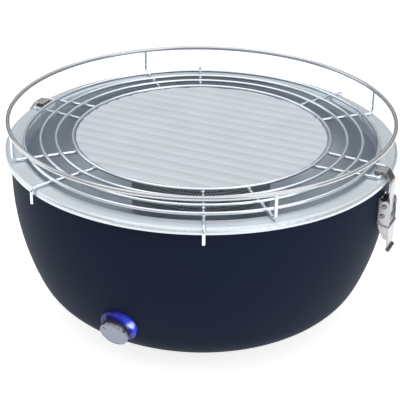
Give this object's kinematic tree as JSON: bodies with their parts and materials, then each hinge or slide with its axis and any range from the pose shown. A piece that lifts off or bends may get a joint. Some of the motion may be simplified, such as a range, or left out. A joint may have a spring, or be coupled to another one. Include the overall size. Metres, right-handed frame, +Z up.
{
  "type": "table grill",
  "caption": "Round charcoal table grill: bowl with steel rim, wire grate with rail and ribbed drip plate, side latches, fan speed knob in a lit ring.",
  "frame": {"origin": "on the table surface under the centre of the bowl", "axes": "+Z up, -Y towards the speed knob at the front, +X towards the right-hand latch"},
  "size_m": [0.3664, 0.35, 0.1848],
  "materials": {
    "bowl_paint": "matte dark navy-grey powder coat",
    "rim_steel": "satin stainless steel sheet",
    "gasket_rubber": "black silicone rubber",
    "grate_chrome": "bright polished steel wire",
    "plate_steel": "satin pressed steel with parallel ridges",
    "basket_steel": "dull perforated steel sheet",
    "latch_steel": "stamped stainless steel",
    "knob_aluminium": "turned and anodised",
    "light_lens": "translucent blue, lit from behind",
    "board_green": "circuit board",
    "nut_brass": "plain brass",
    "black_plastic": "moulded heat-resistant plastic",
    "inner_steel": "plain zinc-coated steel",
    "shield_aluminium": "thin sheet",
    "cell_wrap": "plain blue-grey sleeve",
    "lead_jacket": "dark red insulated wire"
  },
  "bodies": {
    "grill_body": {"air_duct": "shield_aluminium", "base_plate": "black_plastic", "base_screws": "inner_steel", "basket_floor": "basket_steel", "basket_lid": "basket_steel", "basket_skirt": "basket_steel", "basket_wall": "basket_steel", "batteries": "cell_wrap", "battery_box": "black_plastic", "battery_contacts": "nut_brass", "battery_lead": "lead_jacket", "control_nut": "nut_brass", "door_hinge_pin": "inner_steel", "drip_plate": "plate_steel", "fan_motor": "inner_steel", "fan_shroud": "black_plastic", "grate_foot_spokes": "grate_chrome", "grate_loop_left": "grate_chrome", "grate_loop_right": "grate_chrome", "grate_posts": "grate_chrome", "grate_rail": "grate_chrome", "grate_ring_inner": "grate_chrome", "grate_ring_outer": "grate_chrome", "grate_ring_second": "grate_chrome", "grate_ring_third": "grate_chrome", "heat_shield": "shield_aluminium", "ignition_tray": "rim_steel", "inner_bowl": "rim_steel", "latch_base_left": "latch_steel", "latch_base_right": "latch_steel", "latch_lever_pin_left": "latch_steel", "latch_lever_pin_right": "latch_steel", "latch_rivets_left": "latch_steel", "latch_rivets_right": "latch_steel", "lid_handle": "basket_steel", "light_board": "board_green", "light_ring": "light_lens", "motor_lead": "lead_jacket", "outer_bowl": "bowl_paint", "rim_gasket": "gasket_rubber", "rubber_feet": "gasket_rubber", "shield_rivets": "inner_steel", "speed_control": "black_plastic"},
    "knob": {"speed_knob": "knob_aluminium", "knob_shaft": "inner_steel"},
    "fan_rotor": {"fan_impeller": "black_plastic", "motor_shaft": "inner_steel"},
    "lever_right": {"latch_lever_right": "latch_steel", "latch_hook_pin_right": "latch_steel"},
    "hook_right": {"latch_hook_right": "latch_steel"},
    "lever_left": {"latch_lever_left": "latch_steel", "latch_hook_pin_left": "latch_steel"},
    "hook_left": {"latch_hook_left": "latch_steel"},
    "door": {"battery_door": "black_plastic"}
  },
  "joints": [
    {"name": "speed_knob_turn", "type": "hinge", "parent": "grill_body", "child": "knob", "pos_m": [0, -0.15565, 0.04972], "axis": [0, 0.9373, 0.3486], "range_deg": [0, 270]},
    {"name": "fan_spin", "type": "hinge", "parent": "grill_body", "child": "fan_rotor", "pos_m": [0, 0, 0.04], "axis": [0, 0, 1], "continuous": true},
    {"name": "battery_door_hinge", "type": "hinge", "parent": "grill_body", "child": "door", "pos_m": [0, 0.0862, 0.0065], "axis": [1, 0, 0], "range_deg": [0, 95]},
    {"name": "right_latch_lever", "type": "hinge", "parent": "grill_body", "child": "lever_right", "pos_m": [0.176, 0, 0.13309], "axis": [0, -1, 0], "range_deg": [0, 120]},
    {"name": "right_latch_hook", "type": "hinge", "parent": "lever_right", "child": "hook_right", "pos_m": [0.1748, 0, 0.12409], "axis": [0, -1, 0], "range_deg": [-104, 0]},
    {"name": "left_latch_lever", "type": "hinge", "parent": "grill_body", "child": "lever_left", "pos_m": [-0.176, 0, 0.13309], "axis": [0, 1, 0], "range_deg": [0, 120]},
    {"name": "left_latch_hook", "type": "hinge", "parent": "lever_left", "child": "hook_left", "pos_m": [-0.1748, 0, 0.12409], "axis": [0, 1, 0], "range_deg": [-104, 0]}
  ],
  "couplings": [
    {"joint": "right_latch_hook", "follows": "right_latch_lever", "ratio": -0.86},
    {"joint": "left_latch_hook", "follows": "left_latch_lever", "ratio": -0.86}
  ]
}
